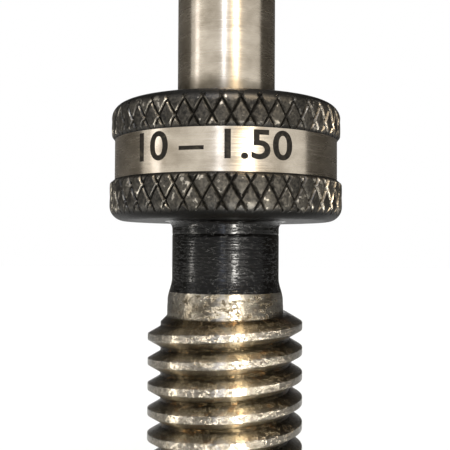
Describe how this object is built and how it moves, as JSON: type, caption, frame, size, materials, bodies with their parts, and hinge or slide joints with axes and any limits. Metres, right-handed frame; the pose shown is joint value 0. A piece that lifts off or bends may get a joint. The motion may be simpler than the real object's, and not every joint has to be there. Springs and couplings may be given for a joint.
{
  "type": "thread plug gauge",
  "caption": "Screw plug gauge with a right-hand 60 degree thread, a knurled collar with a plain band, and a plain ground shank, for testing tapped holes.",
  "frame": {"origin": "centre of the threaded end's flat face, on which the gauge stands", "axes": "+Z along the gauge's axis from the threaded end to the shank, -Y is the front that shows in the picture"},
  "size_m": [0.0142, 0.0142, 0.05],
  "materials": {
    "gauge_steel": "ground bright on the shank, band, shoulder and thread, black oxide on the neck and the knurled rims"
  },
  "bodies": {
    "root": {"gauge_body": "gauge_steel"}
  },
  "joints": []
}
